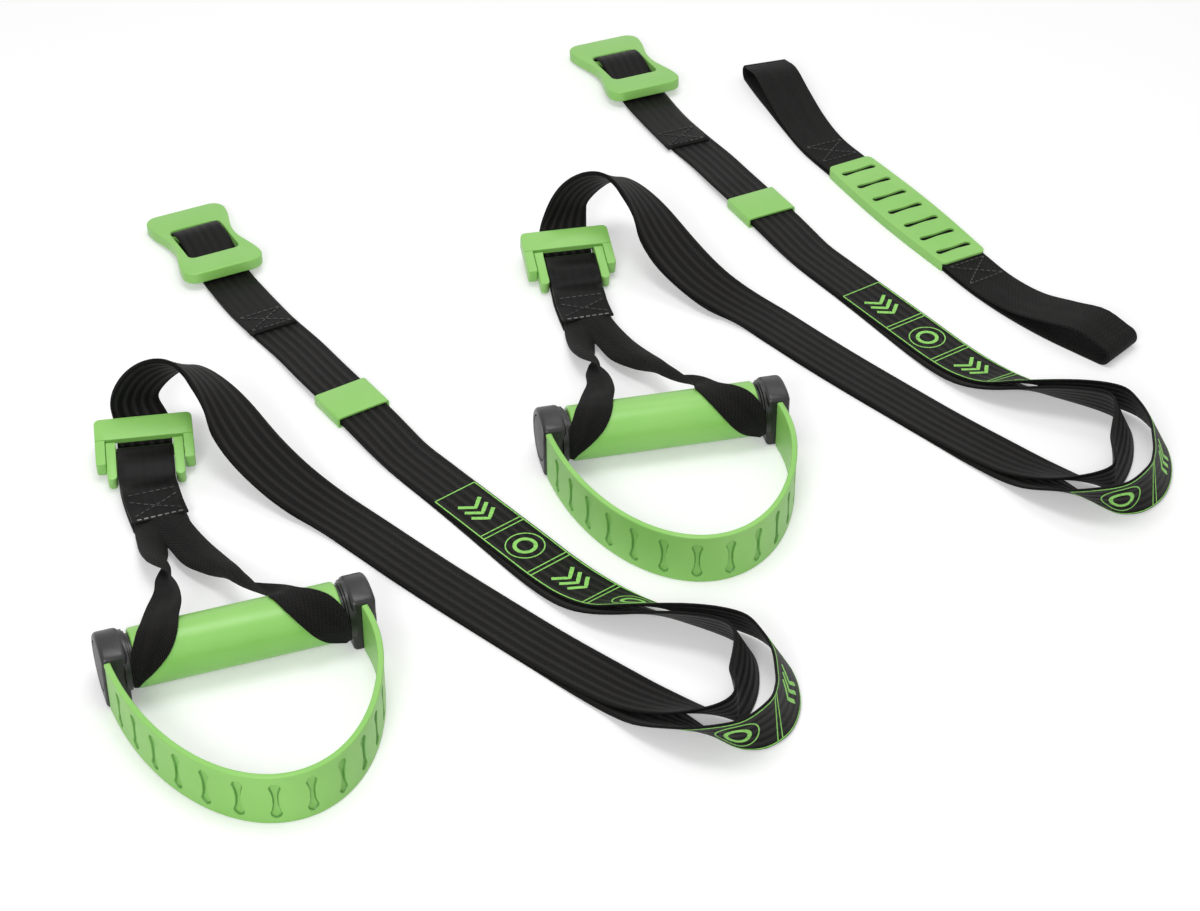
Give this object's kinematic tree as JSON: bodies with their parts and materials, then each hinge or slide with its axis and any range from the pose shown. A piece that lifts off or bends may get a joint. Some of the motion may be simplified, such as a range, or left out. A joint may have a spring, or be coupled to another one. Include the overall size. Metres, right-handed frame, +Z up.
{
  "type": "suspension trainer",
  "caption": "Door-anchored suspension trainer: webbing straps with cam buckles, hand grips with foot cradles, and a padded loop strap, laid out flat.",
  "frame": {"origin": "middle of the set's footprint, on the floor it is laid out on", "axes": "+Z up from the floor, +Y away from the nearer handle, +X to the right"},
  "size_m": [0.6014, 0.7662, 0.0537],
  "materials": {
    "webbing_black": "black polyester webbing, ribbed lengthwise, slight sheen",
    "handle_webbing_black": "black webbing in a matte diagonal weave",
    "green_plastic": "light green moulded plastic, satin",
    "black_plastic": "black moulded plastic, satin",
    "grey_plastic": "dark grey moulded plastic",
    "bar_steel": "drawn steel"
  },
  "bodies": {
    "strap_a": {"main_webbing_a": "webbing_black", "buckle_frame_a": "green_plastic", "buckle_bar_a": "bar_steel", "buckle_fold_bar_a": "bar_steel"},
    "anchor_a": {"anchor_plate_a": "green_plastic"},
    "keeper_body_a": {"keeper_a": "green_plastic"},
    "lever_a": {"buckle_lever_a": "green_plastic"},
    "swing_a": {"tab_webbing_a": "webbing_black", "leg_webbing_left_a": "handle_webbing_black", "leg_webbing_right_a": "handle_webbing_black"},
    "handle_a": {"core_tube_a": "bar_steel", "cap_left_a": "black_plastic", "cap_right_a": "black_plastic", "cap_disc_left_a": "grey_plastic", "cap_disc_right_a": "grey_plastic", "foot_cradle_a": "green_plastic"},
    "grip_body_a": {"grip_a": "green_plastic"},
    "strap_b": {"main_webbing_b": "webbing_black", "buckle_frame_b": "green_plastic", "buckle_bar_b": "bar_steel", "buckle_fold_bar_b": "bar_steel"},
    "anchor_b": {"anchor_plate_b": "green_plastic"},
    "keeper_body_b": {"keeper_b": "green_plastic"},
    "lever_b": {"buckle_lever_b": "green_plastic"},
    "swing_b": {"tab_webbing_b": "webbing_black", "leg_webbing_left_b": "handle_webbing_black", "leg_webbing_right_b": "handle_webbing_black"},
    "handle_b": {"core_tube_b": "bar_steel", "cap_left_b": "black_plastic", "cap_right_b": "black_plastic", "cap_disc_left_b": "grey_plastic", "cap_disc_right_b": "grey_plastic", "foot_cradle_b": "green_plastic"},
    "grip_body_b": {"grip_b": "green_plastic"},
    "loop_strap": {"loop_webbing": "handle_webbing_black"},
    "pad": {"loop_pad": "green_plastic"}
  },
  "joints": [
    {"name": "anchor_tilt_a", "type": "hinge", "parent": "strap_a", "child": "anchor_a", "pos_m": [-0.26707, 0.12685, 0.00561], "axis": [-0.866, -0.5, 0], "range_deg": [0, 85]},
    {"name": "keeper_slide_a", "type": "slide", "parent": "strap_a", "child": "keeper_body_a", "axis": [-0.5608, 0.8279, 0], "range_m": [-0.006, 0.006]},
    {"name": "lever_press_a", "type": "hinge", "parent": "strap_a", "child": "lever_a", "pos_m": [-0.26757, -0.10464, 0.00986], "axis": [-0.9863, -0.165, 0], "range_deg": [0, 18], "stiffness_Nm_per_rad": 0.05},
    {"name": "handle_lift_a", "type": "hinge", "parent": "strap_a", "child": "swing_a", "pos_m": [-0.26757, -0.10464, 0.00986], "axis": [-0.9863, -0.165, 0], "range_deg": [0, 75]},
    {"name": "foot_cradle_turn_a", "type": "hinge", "parent": "swing_a", "child": "handle_a", "pos_m": [-0.19958, -0.26702, 0.01814], "axis": [-0.9397, -0.342, 0], "range_deg": [-60, 90]},
    {"name": "grip_spin_a", "type": "hinge", "parent": "handle_a", "child": "grip_body_a", "pos_m": [-0.19958, -0.26702, 0.01814], "axis": [0.9397, 0.342, 0], "continuous": true},
    {"name": "anchor_tilt_b", "type": "hinge", "parent": "strap_b", "child": "anchor_b", "pos_m": [-0.00525, 0.34866, 0.00561], "axis": [-0.9135, -0.4067, 0], "range_deg": [0, 85]},
    {"name": "keeper_slide_b", "type": "slide", "parent": "strap_b", "child": "keeper_body_b", "axis": [-0.4658, 0.8849, 0], "range_m": [-0.006, 0.006]},
    {"name": "lever_press_b", "type": "hinge", "parent": "strap_b", "child": "lever_b", "pos_m": [-0.03501, 0.08931, 0.00986], "axis": [-0.9799, -0.1994, 0], "range_deg": [0, 18], "stiffness_Nm_per_rad": 0.05},
    {"name": "handle_lift_b", "type": "hinge", "parent": "strap_b", "child": "swing_b", "pos_m": [-0.03501, 0.08931, 0.00986], "axis": [-0.9799, -0.1994, 0], "range_deg": [0, 75]},
    {"name": "foot_cradle_turn_b", "type": "hinge", "parent": "swing_b", "child": "handle_b", "pos_m": [0.01792, -0.08552, 0.01814], "axis": [-0.9744, -0.225, 0], "range_deg": [-60, 90]},
    {"name": "grip_spin_b", "type": "hinge", "parent": "handle_b", "child": "grip_body_b", "pos_m": [0.01792, -0.08552, 0.01814], "axis": [0.9744, 0.225, 0], "continuous": true},
    {"name": "lift_trainer_b", "type": "slide", "parent": "strap_a", "child": "strap_b", "axis": [0, 0, 1], "range_m": [0, 0.25]},
    {"name": "lift_loop_strap", "type": "slide", "parent": "strap_a", "child": "loop_strap", "axis": [0, 0, 1], "range_m": [0, 0.25]},
    {"name": "pad_slide", "type": "slide", "parent": "loop_strap", "child": "pad", "axis": [-0.4848, 0.8746, 0], "range_m": [-0.004, 0.004]}
  ]
}
